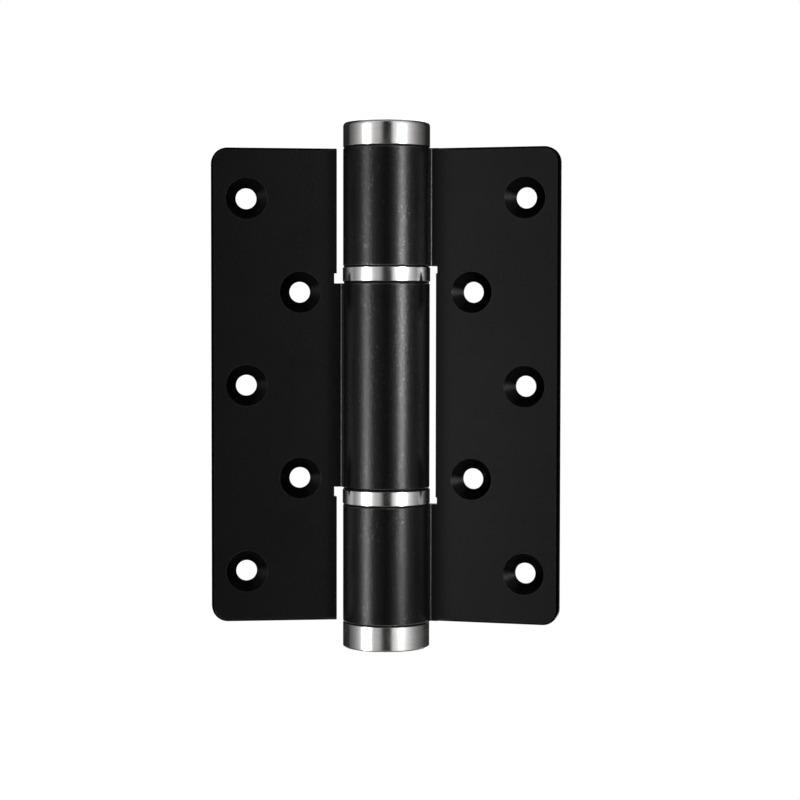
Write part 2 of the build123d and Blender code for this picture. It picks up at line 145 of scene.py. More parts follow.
class HingeMetalSettings(bpy.types.PropertyGroup):
    """Bright, turned and hardened metals."""

    bright_colour: FloatVectorProperty(
        name="Bright steel",
        description="End caps and bearing rings",
        default=(0.735, 0.722, 0.708),
        subtype="COLOR",
        min=0,
        max=1,
    )
    turned_colour: FloatVectorProperty(
        name="Turned steel",
        description="Journals, damper cylinder and nuts",
        default=(0.52, 0.51, 0.49),
        subtype="COLOR",
        min=0,
        max=1,
    )
    hardened_colour: FloatVectorProperty(
        name="Hardened steel",
        description="Cam sleeve, plunger, pin and keys",
        default=(0.34, 0.335, 0.34),
        subtype="COLOR",
        min=0,
        max=1,
    )
    spring_colour: FloatVectorProperty(
        name="Spring steel",
        description="Closing spring and clip, oiled",
        default=(0.16, 0.155, 0.155),
        subtype="COLOR",
        min=0,
        max=1,
    )
    socket_colour: FloatVectorProperty(
        name="Adjuster steel",
        description="Heads of the two adjusters",
        default=(0.30, 0.295, 0.29),
        subtype="COLOR",
        min=0,
        max=1,
    )
    brass_colour: FloatVectorProperty(
        name="Brass",
        description="Damper piston and valve ring",
        default=(0.72, 0.52, 0.24),
        subtype="COLOR",
        min=0,
        max=1,
    )
    tool_mark: FloatProperty(
        name="Tool mark",
        description="Distance between the marks of the turning tool",
        default=0.00016,
        unit="LENGTH",
        precision=5,
    )


class HingeTrimSettings(bpy.types.PropertyGroup):
    """Dark washers, gaskets and rubber rings."""

    polymer_colour: FloatVectorProperty(
        name="Washer colour",
        description="Thrust washers and cap gaskets",
        default=(0.0015, 0.0015, 0.0016),
        subtype="COLOR",
        min=0,
        max=1,
    )
    rubber_colour: FloatVectorProperty(
        name="Rubber colour",
        description="Sealing rings",
        default=(0.016, 0.016, 0.017),
        subtype="COLOR",
        min=0,
        max=1,
    )


class HingeStudioSettings(bpy.types.PropertyGroup):
    """Camera, floor and lamps."""

    lens: FloatProperty(
        name="Lens",
        description="Focal length of the camera",
        default=94.21,
        subtype="DISTANCE_CAMERA",
        min=1,
    )
    floor_drop: FloatProperty(
        name="Floor drop",
        description="Height of the pivot's middle above the floor",
        default=0.30,
        unit="LENGTH",
    )
    key_strength: FloatProperty(
        name="Key strength",
        description="Brightness of the right-hand panel",
        default=1.0,
        min=0,
    )
    fill_strength: FloatProperty(
        name="Fill strength",
        description="Brightness of the left-hand panel",
        default=1.0,
        min=0,
    )
    back_strength: FloatProperty(
        name="Back strength",
        description="Brightness of the panel and the lamp behind the hinge",
        default=1.0,
        min=0,
    )
    ceiling_strength: FloatProperty(
        name="Ceiling strength",
        description="Brightness of the ceiling that the cap's top face mirrors",
        default=0.3,
        min=0,
    )
    sky_strength: FloatProperty(
        name="Sky strength",
        description="Brightness of the room as it lights the hinge",
        default=0.02,
        min=0,
    )


SETTINGS = {
    "hinge_coat": HingeCoatSettings,
    "hinge_metal": HingeMetalSettings,
    "hinge_trim": HingeTrimSettings,
    "hinge_studio": HingeStudioSettings,
}


# Node helpers


def node(tree, kind, inputs=(), **options):
    """Adds a node, sets its options, and fills its inputs with values or links."""
    made = tree.nodes.new(kind)
    for key, value in options.items():
        setattr(made, key, value)
    for key, value in dict(inputs).items():
        if isinstance(value, bpy.types.NodeSocket):
            tree.links.new(value, made.inputs[key])
        else:
            made.inputs[key].default_value = value
    return made


def maths(tree, operation, first, second=None, third=None, clamp=False):
    """Output of a math node."""
    values = [v for v in (first, second, third) if v is not None]
    made = node(
        tree, "ShaderNodeMath", enumerate(values), operation=operation, use_clamp=clamp
    )
    return made.outputs[0]


def ramp_between(tree, value, low, high, to_low=0.0, to_high=1.0):
    """Value carried smoothly from one range to another, and held at its ends."""
    made = node(
        tree,
        "ShaderNodeMapRange",
        {0: value, 1: low, 2: high, 3: to_low, 4: to_high},
        interpolation_type="SMOOTHSTEP",
        clamp=True,
    )
    return made.outputs[0]


def mix_colour(tree, factor, first, second):
    """Output of a colour mix."""
    sockets = {0: factor, 6: first, 7: second}
    return node(tree, "ShaderNodeMix", sockets, data_type="RGBA").outputs[2]


def noise(tree, where, scale, detail, roughness=0.5, distortion=0.0, flat=False):
    """Output of a noise texture, in space or on a flat sheet."""
    made = node(
        tree,
        "ShaderNodeTexNoise",
        {
            "Vector": where,
            "Scale": scale,
            "Detail": detail,
            "Roughness": roughness,
            "Distortion": distortion,
        },
        noise_dimensions="2D" if flat else "3D",
    )
    return made.outputs[0]


def dot(tree, first, second):
    """Dot product of two vectors."""
    made = node(
        tree, "ShaderNodeVectorMath", {0: first, 1: second}, operation="DOT_PRODUCT"
    )
    return made.outputs["Value"]


def shade(colour, scale=1.0):
    """Colour made darker or lighter, with its fourth number."""
    return (*(min(1.0, part * scale) for part in colour), 1.0)


def empty_tree(owner):
    """Node tree of a material or of the world, cleared."""
    owner.use_nodes = True
    owner.node_tree.nodes.clear()
    return owner.node_tree


def show(tree, shader, kind="ShaderNodeOutputMaterial"):
    """Feeds a shader to the output of its tree."""
    out = node(tree, kind)
    tree.links.new(shader.outputs[0], out.inputs["Surface"])


def new_group(name, inputs, outputs):
    """Shader node group with named sockets, and its two end nodes."""
    tree = bpy.data.node_groups.new(name, "ShaderNodeTree")
    for label, default in inputs.items():
        socket = tree.interface.new_socket(
            label, in_out="INPUT", socket_type="NodeSocketFloat"
        )
        socket.default_value = default
    for label in outputs:
        tree.interface.new_socket(
            label, in_out="OUTPUT", socket_type="NodeSocketFloat"
        )
    return tree, tree.nodes.new("NodeGroupInput"), tree.nodes.new("NodeGroupOutput")


def place_group(tree, name, **values):
    """Puts a shared effect in a material with its own values."""
    inputs = {key.replace("_", " ").capitalize(): values[key] for key in values}
    group = bpy.data.node_groups[name]
    return node(tree, "ShaderNodeGroup", inputs, node_tree=group).outputs


def place_on_part(tree):
    """Place of a point on the hinge: its vector, distance from the pivot and level."""
    where = node(tree, "ShaderNodeTexCoord").outputs["Object"]
    parts = node(tree, "ShaderNodeSeparateXYZ", {0: where}).outputs
    squares = maths(tree, "MULTIPLY", parts[0], parts[0])
    squares = maths(tree, "MULTIPLY_ADD", parts[1], parts[1], squares)
    return where, maths(tree, "SQRT", squares), parts


def upward_share(tree):
    """How far a face looks up: 1 straight up, 0 to the side, -1 straight down."""
    facing = node(tree, "ShaderNodeTexCoord").outputs["Normal"]
    return node(tree, "ShaderNodeSeparateXYZ", {0: facing}).outputs[2]


# Shared effects


def make_grain_group():
    """Sanded coat: rounded grains of uneven height, and a few that glitter."""
    fine_per_grain, fine_height = 2.3, 0.6
    glitter_softness = 0.03
    clouds_per_metre = 55.0
    tree, given, result = new_group(
        "Coat grain",
        {"Grain": 0.00034, "Glitter": 0.1},
        ("Height", "Glitter", "Cloud"),
    )
    where, _, _ = place_on_part(tree)
    scale = maths(tree, "DIVIDE", 1.0, given.outputs["Grain"])
    grains = node(
        tree,
        "ShaderNodeTexVoronoi",
        {"Vector": where, "Scale": scale, "Randomness": 1.0},
        feature="SMOOTH_F1",
    )
    fine_scale = maths(tree, "MULTIPLY", scale, fine_per_grain)
    fine = noise(tree, where, fine_scale, detail=2.0, roughness=0.55)
    dome = maths(tree, "SUBTRACT", 1.0, grains.outputs["Distance"], clamp=True)
    height = maths(tree, "MULTIPLY_ADD", fine, fine_height, dome)
    tint = node(tree, "ShaderNodeSeparateColor", {0: grains.outputs["Color"]})
    threshold = maths(tree, "SUBTRACT", 1.0, given.outputs["Glitter"])
    full = maths(tree, "ADD", threshold, glitter_softness)
    glitter = ramp_between(tree, tint.outputs[0], threshold, full)
    cloud = noise(tree, where, clouds_per_metre, detail=3.0, roughness=0.6)
    tree.links.new(height, result.inputs["Height"])
    tree.links.new(glitter, result.inputs["Glitter"])
    tree.links.new(cloud, result.inputs["Cloud"])


def make_turning_group():
    """Marks of the turning tool: fine rings round the pivot, on walls and faces."""
    change_round_a_ring = 0.9
    tree, given, result = new_group(
        "Turning marks",
        {"Pitch": 0.00016, "Blotch": 90.0},
        ("Height", "Streak", "Blotch"),
    )
    where, radius, parts = place_on_part(tree)
    along = maths(tree, "ADD", radius, parts[2])
    steps = maths(tree, "DIVIDE", along, given.outputs["Pitch"])
    turn = maths(tree, "ARCTAN2", parts[1], parts[0])
    drift = maths(tree, "MULTIPLY", turn, change_round_a_ring)
    line = node(tree, "ShaderNodeCombineXYZ", {0: steps, 1: drift})
    marks = noise(tree, line.outputs[0], 1.0, detail=3.0, roughness=0.7, flat=True)
    streak = ramp_between(tree, marks, 0.35, 0.65)
    blotch = noise(tree, where, given.outputs["Blotch"], detail=4.0, roughness=0.6)
    tree.links.new(marks, result.inputs["Height"])
    tree.links.new(streak, result.inputs["Streak"])
    tree.links.new(blotch, result.inputs["Blotch"])


def make_edge_group():
    """Edges of a piece, as a mask broken up by handling."""
    patches_per_metre, least_wear = 420.0, 0.45
    tree, given, result = new_group(
        "Edge mask", {"Width": 0.0003, "Gain": 5.0}, ("Mask",)
    )
    where, _, _ = place_on_part(tree)
    rounded = node(
        tree, "ShaderNodeBevel", {"Radius": given.outputs["Width"]}, samples=4
    )
    flat = node(tree, "ShaderNodeNewGeometry").outputs["Normal"]
    turned = maths(tree, "SUBTRACT", 1.0, dot(tree, rounded.outputs[0], flat))
    patches = noise(tree, where, patches_per_metre, detail=3.0, roughness=0.6)
    uneven = ramp_between(tree, patches, 0.25, 0.7, least_wear, 1.0)
    mask = maths(tree, "MULTIPLY", turned, given.outputs["Gain"])
    mask = maths(tree, "MULTIPLY", mask, uneven, clamp=True)
    tree.links.new(mask, result.inputs["Mask"])


def make_film_group():
    """Thin film of oil and handling marks: wide soft patches."""
    tree, given, result = new_group("Oil film", {"Patch": 0.006}, ("Mask",))
    where, _, _ = place_on_part(tree)
    scale = maths(tree, "DIVIDE", 1.0, given.outputs["Patch"])
    patches = noise(tree, where, scale, detail=4.0, roughness=0.62, distortion=0.6)
    mask = ramp_between(tree, patches, 0.38, 0.64)
    tree.links.new(mask, result.inputs["Mask"])


def make_thread_group():
    """Screw thread between two levels: ridges of a helix round the pivot."""
    run_out = 0.0003
    tree, given, result = new_group(
        "Screw thread", {"Pitch": 0.001, "Low": 0.0, "High": 1.0}, ("Height", "Mask")
    )
    _, _, parts = place_on_part(tree)
    turn = maths(tree, "ARCTAN2", parts[1], parts[0])
    climb = maths(tree, "DIVIDE", parts[2], given.outputs["Pitch"])
    phase = maths(tree, "SUBTRACT", climb, maths(tree, "DIVIDE", turn, 2 * math.pi))
    ridge = maths(tree, "PINGPONG", phase, 0.5)
    low, high = given.outputs["Low"], given.outputs["High"]
    above = ramp_between(tree, parts[2], low, maths(tree, "ADD", low, run_out))
    beyond = ramp_between(tree, parts[2], maths(tree, "SUBTRACT", high, run_out), high)
    mask = maths(tree, "SUBTRACT", above, beyond, clamp=True)
    height = maths(tree, "MULTIPLY", maths(tree, "MULTIPLY", ridge, 2.0), mask)
    tree.links.new(height, result.inputs["Height"])
    tree.links.new(mask, result.inputs["Mask"])


def make_tilt_group():
    """Walls, chamfers and countersinks of a leaf: all that does not face its way."""
    sloped, straight = 0.84, 0.96
    tree, given, result = new_group(
        "Face tilt", {"Heading x": 1.0, "Heading y": 0.0}, ("Mask",)
    )
    facing = node(tree, "ShaderNodeTexCoord").outputs["Normal"]
    across = node(
        tree,
        "ShaderNodeCombineXYZ",
        {
            0: maths(tree, "MULTIPLY", given.outputs["Heading y"], -1.0),
            1: given.outputs["Heading x"],
        },
    )
    alike = maths(tree, "ABSOLUTE", dot(tree, facing, across.outputs[0]))
    mask = ramp_between(tree, alike, sloped, straight, 1.0, 0.0)
    tree.links.new(mask, result.inputs["Mask"])


def make_effects():
    """Builds each shared effect once."""
    if "Coat grain" not in bpy.data.node_groups:
        make_grain_group()
        make_tilt_group()
        make_turning_group()
        make_edge_group()
        make_film_group()
        make_thread_group()


# Materials

# Where one finish of a leaf gives way to the next: at the wall of the barrel and at
# the neck beyond it, as distances from the pivot, and inwards from the leaf's rim
BARREL_END = (BARREL_RADIUS + 0.0002, BARREL_RADIUS + 0.0009)
NECK = (0.016, 0.018)
RIM_INSETS = (0.0009, 0.0006)

# Shades of the leaf's coat, which its clouds mix, and how strongly its edges and those
# of the barrel show wear and painted highlight
LEAF_SHADES = (0.8, 1.25)
LEAF_WEAR_AND_HIGHLIGHT, BARREL_WEAR_AND_HIGHLIGHT = 3.0, 1.0
COAT_ROUGHNESS = 0.25
COAT_SPECULAR = 0.19

# Shades of a metal beside its own colour: from mark to mark of the tool, under the
# film of oil, on its edges, and the painted shade on the rounded edges that face down
STREAK_SHADES = (0.93, 1.03)
FILM_SHADE = 0.84
EDGE_SHADE = 1.25
PAINTED_UNDERSIDE_SHADE = 0.12
# How far blotches change the roughness, and the depth of a thread beside its pitch
BLOTCH_ROUGHNESS = 0.09
THREAD_DEPTH = 0.45

# Shades of rubber and plastic: where the skin has a bloom, and on its edges
BLOOM_SHADE = 1.6
SOFT_EDGE_SHADE = 2.2
SOFT_SPECULAR = 0.08


def new_material(name):
    """Empty material with its shader, ready for colour, roughness and bump."""
    make_effects()
    material = bpy.data.materials.new(name)
    tree = empty_tree(material)
    shader = node(tree, "ShaderNodeBsdfPrincipled")
    show(tree, shader)
    return material, tree, shader


def bump(tree, shader, height, depth):
    """Feeds a height to the shader's normal."""
    relief = {"Height": height, "Strength": 1.0, "Distance": depth}
    made = node(tree, "ShaderNodeBump", relief)
    tree.links.new(made.outputs[0], shader.inputs["Normal"])


def coat_material(name, settings, heading, reach):
    """Black sanded coat, smoother and brighter on the turned knuckles.

    The heading points from the pivot along the leaf, and the reach is its length.
    """
    material, tree, shader = new_material(name)
    where, radius, parts = place_on_part(tree)
    grain = place_group(tree, "Coat grain", grain=settings.grain, glitter=0.24)
    edges = place_group(tree, "Edge mask", width=0.00022, gain=3.2)
    tilt = place_group(tree, "Face tilt", heading_x=heading.x, heading_y=heading.y)

    # Masks of the zones that differ in finish, and of the painted shade and painted
    # glint
    barrel = ramp_between(tree, radius, *BARREL_END, 1.0, 0.0)
    inner = ramp_between(tree, radius, *NECK, 1.0, 0.0)
    # Slopes of the leaf away from the barrel, which get painted shade
    broken = maths(tree, "MULTIPLY", tilt["Mask"], ramp_between(tree, radius, *NECK))
    outward = dot(tree, where, (heading.x, heading.y, 0.0))
    high = maths(tree, "ABSOLUTE", parts[2])
    rim_zone = maths(
        tree,
        "MAXIMUM",
        ramp_between(tree, outward, *(reach - inset for inset in RIM_INSETS)),
        ramp_between(tree, high, *(LEAF_HALF - inset for inset in RIM_INSETS)),
    )
    upright = maths(tree, "ABSOLUTE", upward_share(tree))
    # Rounded ends of the knuckles, which carry the painted glint
    end_glint = ramp_between(tree, upright, 0.01, 0.08)

    # Leaf, with painted shade in its countersinks and on its walls and chamfers
    cloud = maths(tree, "MULTIPLY", grain["Cloud"], 0.8)
    shades = [shade(settings.leaf_colour, scale) for scale in LEAF_SHADES]
    leaf = mix_colour(tree, cloud, *shades)
    sunk = mix_colour(
        tree, rim_zone, shade(settings.sunk_shade_colour), shade(settings.chamfer_shade_colour)
    )
    leaf = mix_colour(tree, broken, leaf, sunk)

    # Knuckle, with its glitter, and a painted glint on its rounded ends
    speckled = mix_colour(
        tree,
        grain["Glitter"],
        shade(settings.barrel_colour),
        shade(settings.glitter_colour),
    )
    # Painted glint on the rounded knuckle ends
    end_glint_colour = shade(settings.knuckle_end_glint_colour)
    speckled = mix_colour(tree, end_glint, speckled, end_glint_colour)
    colour = mix_colour(tree, barrel, leaf, speckled)

    # Wear along the edges, stronger on the leaf, with painted highlight along the
    # knuckles' edges and round the countersinks
    edge_wear_and_highlight = maths(tree, "MULTIPLY", edges["Mask"], maths(tree, "SUBTRACT", 1.0, broken))
    gain = maths(tree, "MULTIPLY_ADD", inner, BARREL_WEAR_AND_HIGHLIGHT - LEAF_WEAR_AND_HIGHLIGHT, LEAF_WEAR_AND_HIGHLIGHT)
    edge_wear_and_highlight = maths(tree, "MULTIPLY", edge_wear_and_highlight, gain, clamp=True)
    # Painted highlight round the countersinks, wear along the outer rims, painted
    # highlight with wear by the knuckles
    pale = mix_colour(
        tree, rim_zone, shade(settings.hole_rim_highlight_colour), shade(settings.scuffed_colour)
    )
    edge_highlight_and_wear = mix_colour(tree, inner, pale, shade(settings.inner_edge_highlight_colour))
    colour = mix_colour(tree, edge_wear_and_highlight, colour, edge_highlight_and_wear)
    tree.links.new(colour, shader.inputs["Base Color"])

    # Metallic: in the glitter, in the painted glint of the knuckle ends, where metal
    # shows through the wear of the inner edges, and on the slopes, where with their
    # dark colour it paints shade
    bare = maths(tree, "MULTIPLY", maths(tree, "MULTIPLY", edge_wear_and_highlight, inner), 0.7)
    bright = maths(tree, "MAXIMUM", grain["Glitter"], end_glint)
    bright = maths(tree, "MULTIPLY", barrel, bright)
    metal = maths(tree, "MAXIMUM", bright, bare)
    metal = maths(tree, "MAXIMUM", metal, broken)
    tree.links.new(metal, shader.inputs["Metallic"])

    rough = COAT_ROUGHNESS
    for mask, change in (
        (barrel, -0.01),
        (grain["Cloud"], 0.06),
        (edges["Mask"], -0.06),
    ):
        rough = maths(tree, "MULTIPLY_ADD", mask, change, rough)
    tree.links.new(rough, shader.inputs["Roughness"])
    shader.inputs["Specular IOR Level"].default_value = COAT_SPECULAR
    bump(tree, shader, grain["Height"], settings.relief)
    return material


def metal_material(
    name, colour, pitch, rough, depth, edge_gain=3.0, thread=None, painted_shade_below=False
):
    """Metal turned on a lathe: tool marks, a thin film, and lighter edges.

    A thread is its pitch and the two levels that it runs between. With painted shade
    below, the metal is painted darker on the rounded edges that face down.
    """
    material, tree, shader = new_material(name)
    marks = place_group(tree, "Turning marks", pitch=pitch, blotch=160.0)
    film = place_group(tree, "Oil film", patch=0.005)
    edges = place_group(tree, "Edge mask", width=0.00018, gain=edge_gain)
    streaks = [shade(colour, scale) for scale in STREAK_SHADES]
    base = mix_colour(tree, marks["Streak"], *streaks)
    oiled = maths(tree, "MULTIPLY", film["Mask"], 0.35)
    base = mix_colour(tree, oiled, base, shade(colour, FILM_SHADE))
    base = mix_colour(tree, edges["Mask"], base, shade(colour, EDGE_SHADE))
    if painted_shade_below:
        # Painted shade: from where the edge looks well down, but not the flat face that
        # ends it
        upright = upward_share(tree)
        under = ramp_between(tree, upright, -0.50, -0.12, 1.0, 0.0)
        flat = ramp_between(tree, upright, -0.99, -0.96, 1.0, 0.0)
        under = maths(tree, "SUBTRACT", under, flat, clamp=True)
        base = mix_colour(tree, under, base, shade(colour, PAINTED_UNDERSIDE_SHADE))
    tree.links.new(base, shader.inputs["Base Color"])
    least = rough - BLOTCH_ROUGHNESS / 2
    value = maths(tree, "MULTIPLY_ADD", marks["Blotch"], BLOTCH_ROUGHNESS, least)
    value = maths(tree, "MULTIPLY_ADD", film["Mask"], 0.05, value)
    tree.links.new(value, shader.inputs["Roughness"])
    shader.inputs["Metallic"].default_value = 1.0
    height = marks["Height"]
    if thread:
        thread_pitch, low, high = thread
        cut = place_group(tree, "Screw thread", pitch=thread_pitch, low=low, high=high)
        marks_deep = THREAD_DEPTH * thread_pitch / depth
        height = maths(tree, "MULTIPLY_ADD", cut["Height"], marks_deep, height)
    bump(tree, shader, height, depth)
    return material


def soft_material(name, colour, rough, grain_width, relief):
    """Rubber or plastic: a moulded skin with a faint bloom."""
    material, tree, shader = new_material(name)
    grain = place_group(tree, "Coat grain", grain=grain_width, glitter=0.04)
    film = place_group(tree, "Oil film", patch=0.004)
    edges = place_group(tree, "Edge mask", width=0.00012, gain=2.0)
    base = mix_colour(tree, film["Mask"], shade(colour), shade(colour, BLOOM_SHADE))
    base = mix_colour(tree, edges["Mask"], base, shade(colour, SOFT_EDGE_SHADE))
    tree.links.new(base, shader.inputs["Base Color"])
    value = maths(tree, "MULTIPLY_ADD", film["Mask"], 0.14, rough - 0.05)
    tree.links.new(value, shader.inputs["Roughness"])
    shader.inputs["Specular IOR Level"].default_value = SOFT_SPECULAR
    bump(tree, shader, grain["Height"], relief)
    return material


def dress(material, *names):
    """Gives a finish to CAD nodes by name."""
    for name in names:
        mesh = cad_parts[name].data
        if not mesh.materials:
            mesh.materials.append(material)
        for index in range(len(mesh.materials)):
            mesh.materials[index] = material


def leaf_direction(name):
    """Heading of a leaf from the pivot, seen from above, and how far it reaches."""
    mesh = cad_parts[name].data
    face = max(mesh.polygons, key=lambda polygon: polygon.area).normal
    heading = Vector((-face.y, face.x)).normalized()
    spots = [vertex.co.to_2d() for vertex in mesh.vertices]
    if max(spots, key=lambda spot: spot.length).dot(heading) < 0:
        heading.negate()
    return heading, max(spot.dot(heading) for spot in spots)


def settings_of(context, name):
    """A settings group of this scene."""
    return getattr(context.scene, name)


# Operators

# Thread of the tension screw, and the plain length at its top
SCREW_PITCH = 0.00125
SCREW_SHANK = 0.0075


class HingeLeaves(bpy.types.Operator):
    """Coat both leaves and their knuckles"""

    bl_idname = "hinge.leaves"
    bl_label = "Leaves"

    def execute(self, context):
        settings = settings_of(context, "hinge_coat")
        for name in ("frame_leaf", "door_leaf"):
            heading, reach = leaf_direction(name)
            coat = coat_material("black coat " + name, settings, heading, reach)
            dress(coat, name)
        return {"FINISHED"}


class HingeCapsAndRings(bpy.types.Operator):
    """Polish the end caps and the bearing rings"""

    bl_idname = "hinge.caps_and_rings"
    bl_label = "Caps and rings"

    def execute(self, context):
        metal = settings_of(context, "hinge_metal")
        bright = metal_material(
            "bright steel",
            metal.bright_colour,
            pitch=metal.tool_mark,
            rough=0.14,
            depth=0.000001,
            painted_shade_below=True,
        )
        dress(bright, "top_cap", "bottom_cap", "upper_ring", "lower_ring")
        return {"FINISHED"}


class HingeSeams(bpy.types.Operator):
    """Finish the dark washers and gaskets that show as seams"""

    bl_idname = "hinge.seams"
    bl_label = "Washers and gaskets"

    def execute(self, context):
        trim = settings_of(context, "hinge_trim")
        polymer = soft_material(
            "dark washer",
            trim.polymer_colour,
            rough=0.5,
            grain_width=0.0002,
            relief=0.000004,
        )
        dress(
            polymer,
            "top_gasket",
            "bottom_gasket",
            "upper_thrust_washers",
            "lower_thrust_washers",
        )
        return {"FINISHED"}


class HingeAdjusters(bpy.types.Operator):
    """Finish the tension screw and the speed valve"""

    bl_idname = "hinge.adjusters"
    bl_label = "Adjusters"

    def execute(self, context):
        metal = settings_of(context, "hinge_metal")
        low, high = (corner.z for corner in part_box("tension_screw"))
        screw = metal_material(
            "adjuster steel",
            metal.socket_colour,
            pitch=metal.tool_mark,
            rough=0.27,
            depth=0.000002,
            thread=(SCREW_PITCH, low, high - SCREW_SHANK),
        )
        dress(screw, "tension_screw", "speed_valve")
        clip = metal_material(
            "clip steel",
            metal.spring_colour,
            pitch=0.0001,
            rough=0.32,
            depth=0.0000015,
        )
        dress(clip, "screw_clip")
        nut = metal_material(
            "nut steel",
            metal.turned_colour,
            pitch=metal.tool_mark,
            rough=0.3,
            depth=0.000003,
        )
        dress(nut, "tension_nut")
        return {"FINISHED"}


class HingeCamDrive(bpy.types.Operator):
    """Finish the cam sleeve, its keys, the plunger and the cross pin"""

    bl_idname = "hinge.cam_drive"
    bl_label = "Cam drive"

    def execute(self, context):
        metal = settings_of(context, "hinge_metal")
        hardened = metal_material(
            "hardened steel",
            metal.hardened_colour,
            pitch=0.00009,
            rough=0.24,
            depth=0.0000012,
        )
        dress(hardened, "cam_sleeve", "cam_keys", "cross_pin", "plunger")
        dress(hardened, "spring_seat", "check_ball")
        return {"FINISHED"}


class HingeSpring(bpy.types.Operator):
    """Finish the closing spring"""

    bl_idname = "hinge.closing_spring"
    bl_label = "Closing spring"

    def execute(self, context):
        metal = settings_of(context, "hinge_metal")
        wire = metal_material(
            "spring wire",
            metal.spring_colour,
            pitch=0.00022,
            rough=0.3,
            depth=0.000002,
            edge_gain=1.5,
        )
        dress(wire, "main_spring")
        return {"FINISHED"}


class HingeDamper(bpy.types.Operator):
    """Finish the journals, the damper and its piston"""

    bl_idname = "hinge.damper"
    bl_label = "Journals and damper"

    def execute(self, context):
        metal = settings_of(context, "hinge_metal")
        turned = metal_material(
            "turned steel",
            metal.turned_colour,
            pitch=metal.tool_mark,
            rough=0.28,
            depth=0.000002,
        )
        dress(turned, "upper_journal", "lower_journal", "damper_cylinder")
        dress(turned, "piston_nut")
        brass = metal_material(
            "brass", metal.brass_colour, pitch=0.00014, rough=0.25, depth=0.000002
        )
        dress(brass, "piston", "ball_retainer")
        return {"FINISHED"}


class HingeSeals(bpy.types.Operator):
    """Finish the rubber rings"""

    bl_idname = "hinge.seals"
    bl_label = "Seals"

    def execute(self, context):
        trim = settings_of(context, "hinge_trim")
        rubber = soft_material(
            "rubber",
            trim.rubber_colour,
            rough=0.42,
            grain_width=0.00012,
            relief=0.000003,
        )
        dress(rubber, "cap_o_ring", "rod_seal", "piston_seal", "valve_seal")
        return {"FINISHED"}


# Studio

WHITE = (1, 1, 1, 1)
FLOOR_REACH = 0.5
FLOOR_TONES = (0.80, 0.84)
FLOOR_SPECKS_PER_METRE = 60.0
# How much of the floor is plain white to the camera: round the hinge, and at the rim
FLOOR_WHITENESS = (0.88, 1.0)


def level_disc(name, level, reach, segments):
    """Level disc round the pivot."""
    mesh = bpy.data.meshes.new(name)
    disc = bmesh.new()
    bmesh.ops.create_circle(disc, cap_ends=True, radius=reach, segments=segments)
    bmesh.ops.translate(disc, verts=disc.verts, vec=(0, 0, level))
    disc.to_mesh(mesh)
    disc.free()
    made = bpy.data.objects.new(name, mesh)
    bpy.context.scene.collection.objects.link(made)
    return made


def shining(tree, colour, strength):
    """Shader that shines alike to all sides."""
    return node(tree, "ShaderNodeEmission", {"Color": colour, "Strength": strength})


def pale_floor(level, reach):
    """Pale floor that keeps the hinge's shadow, and is clear from below."""
    floor = level_disc("studio_floor", level, reach, 96)
    material = bpy.data.materials.new("pale floor")
    floor.data.materials.append(material)
    tree = empty_tree(material)
    where, radius, _ = place_on_part(tree)
    paper = noise(tree, where, FLOOR_SPECKS_PER_METRE, detail=3.0)
    shades = [(tone, tone, tone, 1) for tone in FLOOR_TONES]
    tone = mix_colour(tree, paper, *shades)
    matt = node(tree, "ShaderNodeBsdfDiffuse", {"Color": tone})
    seen = node(tree, "ShaderNodeLightPath").outputs["Is Camera Ray"]
    white = ramp_between(tree, radius, reach * 0.5, reach * 0.96, *FLOOR_WHITENESS)
    white = maths(tree, "MULTIPLY", seen, white)
    glow = shining(tree, WHITE, 1.0)
    above = node(
        tree,
        "ShaderNodeMixShader",
        {0: white, 1: matt.outputs[0], 2: glow.outputs[0]},
    )
    under = node(tree, "ShaderNodeNewGeometry").outputs["Backfacing"]
    clear = node(tree, "ShaderNodeBsdfTransparent")
    whole = node(
        tree,
        "ShaderNodeMixShader",
        {
            0: maths(tree, "MULTIPLY", seen, under),
            1: above.outputs[0],
            2: clear.outputs[0],
        },
    )
    show(tree, whole)


def dim_ceiling(level, reach, strength):
    """Wide dim ceiling that the upward faces mirror."""
    ceiling = level_disc("studio_ceiling", level, reach, 64)
    ceiling.visible_camera = False
    material = bpy.data.materials.new("dim ceiling")
    ceiling.data.materials.append(material)
    tree = empty_tree(material)
    show(tree, shining(tree, WHITE, strength))


# Each curved panel has a wide skirt, given as brightness by bearing in degrees from -Y
# towards +X, and a bright core: its bearing, its level, half its width in degrees, half
# its height, and its peak
LEFT_SKIRT = (
    (-99, 0.10),
    (-84, 0.20),
    (-71, 0.36),
    (-60, 0.60),
    (-51, 0.80),
    (-41, 0.92),
    (-30, 0.90),
    (-24, 0.82),
    (-16, 0.65),
    (-8, 0.56),
    (-2, 0.47),
    (4, 0.24),
    (8, 0.06),
    (12, 0.02),
)
LEFT_CORE = (-38.0, -0.21, 5.9, 0.27, 22.0)
RIGHT_SKIRT = (
    (27, 0.02),
    (31, 0.45),
    (34, 0.85),
    (40, 0.95),
    (50, 1.20),
    (60, 1.20),
    (70, 1.00),
    (79, 0.78),
    (88, 0.55),
    (98, 0.36),
    (111, 0.20),
    (126, 0.10),
    (142, 0.03),
)
RIGHT_CORE = (57.5, 0.02, 4.6, 0.083, 73.0)
PANEL_LEVELS = (-0.30, 1.50)
# The panel behind stands below what the photograph's camera sees mirrored
BACK_SKIRT = (
    (105, 0.0),
    (125, 0.8),
    (160, 1.2),
    (180, 1.3),
    (200, 1.2),
    (235, 0.8),
    (255, 0.0),
)
BACK_CORE = (190.0, -0.40, 9.0, 0.10, 8.0)
BACK_LEVELS = (-0.66, -0.29)
# Distance of the panels and of the sheets before their cores from the pivot, how many
# half widths of its core such a sheet spans each way, and how finely a sheet is bent
PANEL_REACH = 1.0
CORE_REACH = 0.99
CORE_SPAN = 2.2
SHEET_STEPS = 36

